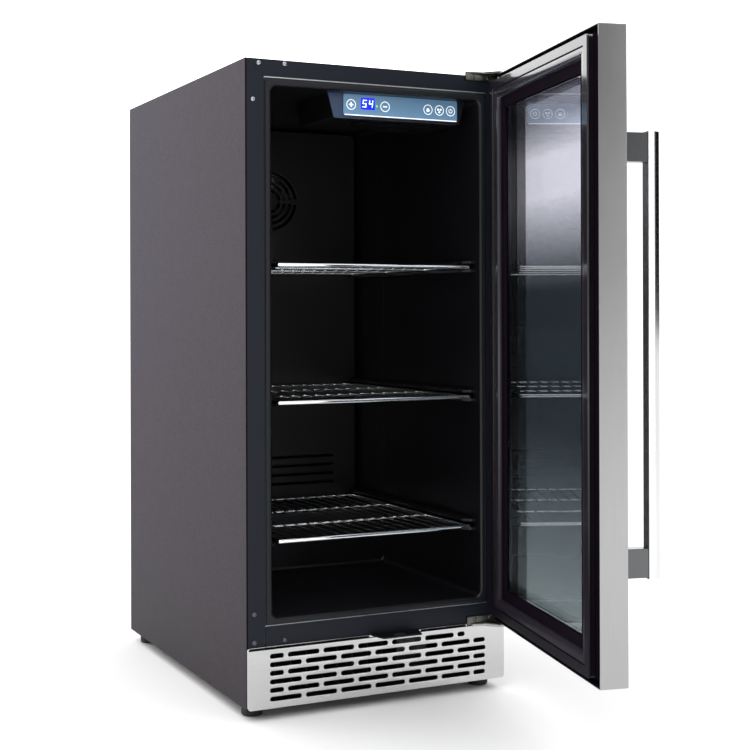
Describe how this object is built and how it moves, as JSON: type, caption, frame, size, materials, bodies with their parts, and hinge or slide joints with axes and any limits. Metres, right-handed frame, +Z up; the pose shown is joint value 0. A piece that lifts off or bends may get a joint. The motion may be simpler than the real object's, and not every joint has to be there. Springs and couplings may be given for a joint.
{
  "type": "mini fridge",
  "caption": "Undercounter mini fridge: steel cabinet with black liner, wire shelves, slotted front grille, levelling feet, and a hinged glass door in a steel frame with a bar handle",
  "frame": {"origin": "on the floor under the middle of the box that holds the fridge with its door open at rest, the feet's undersides at Z = 0", "axes": "+Z up, +Y from the door side to the back of the cabinet, +X to the right of someone facing the door, towards the hinge side"},
  "size_m": [0.3992, 0.8978, 0.8545],
  "materials": {
    "casing_paint": "fine textured brown-grey paint",
    "front_paint": "smooth satin black paint",
    "zinc_steel": "zinc plated sheet steel",
    "stainless": "brushed stainless steel",
    "chrome": "polished chrome plating",
    "liner_plastic": "satin black moulded plastic",
    "foam": "rigid polyurethane foam",
    "black_plastic": "glossy black plastic",
    "seal_rubber": "black vinyl door seal",
    "foot_rubber": "black moulded foot",
    "tinted_glass": "tinted low-emissivity glass",
    "control_face": "blue-grey printed touch face",
    "display": "lit blue display",
    "circuit_board": "green circuit board",
    "light_lens": "milky light lens",
    "aluminium": "plain aluminium",
    "condenser_black": "black painted steel",
    "compressor_paint": "black stove enamel",
    "copper": "bare copper tube",
    "tray_plastic": "off-white moulded plastic"
  },
  "bodies": {
    "cabinet": {"left_side_panel": "casing_paint", "right_side_panel": "casing_paint", "top_panel": "casing_paint", "lower_cross_panel": "front_paint", "base_tray": "zinc_steel", "machine_compartment_cover": "zinc_steel", "rear_panel": "casing_paint", "rear_vent_cover": "front_paint", "power_inlet": "black_plastic", "inner_liner": "liner_plastic", "foam_insulation": "foam", "front_grille": "stainless", "lock_keeper_plate": "black_plastic", "top_hinge_bracket": "zinc_steel", "top_hinge_pin": "chrome", "bottom_hinge_bracket": "chrome", "bottom_hinge_pin": "chrome", "control_housing": "black_plastic", "control_panel_face": "control_face", "display_window": "display", "control_board": "circuit_board", "light_lens": "light_lens", "evaporator_cover": "liner_plastic", "evaporator_coil": "aluminium", "evaporator_fan_motor": "black_plastic", "condenser_coil": "condenser_black", "condenser_fan_shroud": "black_plastic", "condenser_fan_motor": "black_plastic", "compressor": "compressor_paint", "compressor_base_plate": "zinc_steel", "discharge_pipe": "copper", "suction_pipe": "copper", "filter_drier": "copper", "drain_tray": "tray_plastic", "face_screw_1": "zinc_steel", "face_screw_2": "zinc_steel", "face_screw_3": "zinc_steel", "face_screw_4": "zinc_steel", "face_screw_5": "zinc_steel", "face_screw_6": "zinc_steel"},
    "door": {"door_frame": "stainless", "door_inner_frame": "black_plastic", "outer_glass": "tinted_glass", "inner_glass": "tinted_glass", "glass_spacer": "aluminium", "door_gasket": "seal_rubber", "handle_bar": "stainless", "handle_post_upper": "stainless", "handle_post_lower": "stainless"},
    "wire_shelf_1": {"wire_shelf_1": "chrome"},
    "wire_shelf_2": {"wire_shelf_2": "chrome"},
    "wire_shelf_3": {"wire_shelf_3": "chrome"},
    "foot_front_left": {"foot_front_left": "foot_rubber"},
    "foot_front_right": {"foot_front_right": "foot_rubber"},
    "foot_rear_left": {"foot_rear_left": "foot_rubber"},
    "foot_rear_right": {"foot_rear_right": "foot_rubber"},
    "evaporator_fan": {"evaporator_fan": "black_plastic"},
    "condenser_fan": {"condenser_fan": "black_plastic"}
  },
  "joints": [
    {"name": "door_hinge", "type": "hinge", "parent": "cabinet", "child": "door", "pos_m": [0.1685, -0.086, 0.4735], "axis": [0, 0, 1], "range_deg": [-77.4, 27.6]},
    {"name": "shelf_1_slide", "type": "slide", "parent": "cabinet", "child": "wire_shelf_1", "axis": [0, -1, 0], "range_m": [0, 0.08]},
    {"name": "shelf_2_slide", "type": "slide", "parent": "cabinet", "child": "wire_shelf_2", "axis": [0, -1, 0], "range_m": [0, 0.08]},
    {"name": "shelf_3_slide", "type": "slide", "parent": "cabinet", "child": "wire_shelf_3", "axis": [0, -1, 0], "range_m": [0, 0.08]},
    {"name": "foot_front_left_screw", "type": "slide", "parent": "cabinet", "child": "foot_front_left", "axis": [0, 0, -1], "range_m": [0, 0.015]},
    {"name": "foot_front_right_screw", "type": "slide", "parent": "cabinet", "child": "foot_front_right", "axis": [0, 0, -1], "range_m": [0, 0.015]},
    {"name": "foot_rear_left_screw", "type": "slide", "parent": "cabinet", "child": "foot_rear_left", "axis": [0, 0, -1], "range_m": [0, 0.015]},
    {"name": "foot_rear_right_screw", "type": "slide", "parent": "cabinet", "child": "foot_rear_right", "axis": [0, 0, -1], "range_m": [0, 0.015]},
    {"name": "evaporator_fan_spin", "type": "hinge", "parent": "cabinet", "child": "evaporator_fan", "pos_m": [-0.0095, 0.334, 0.7], "axis": [0, 1, 0], "continuous": true},
    {"name": "condenser_fan_spin", "type": "hinge", "parent": "cabinet", "child": "condenser_fan", "pos_m": [-0.1095, 0.274, 0.104], "axis": [0, 1, 0], "continuous": true}
  ]
}
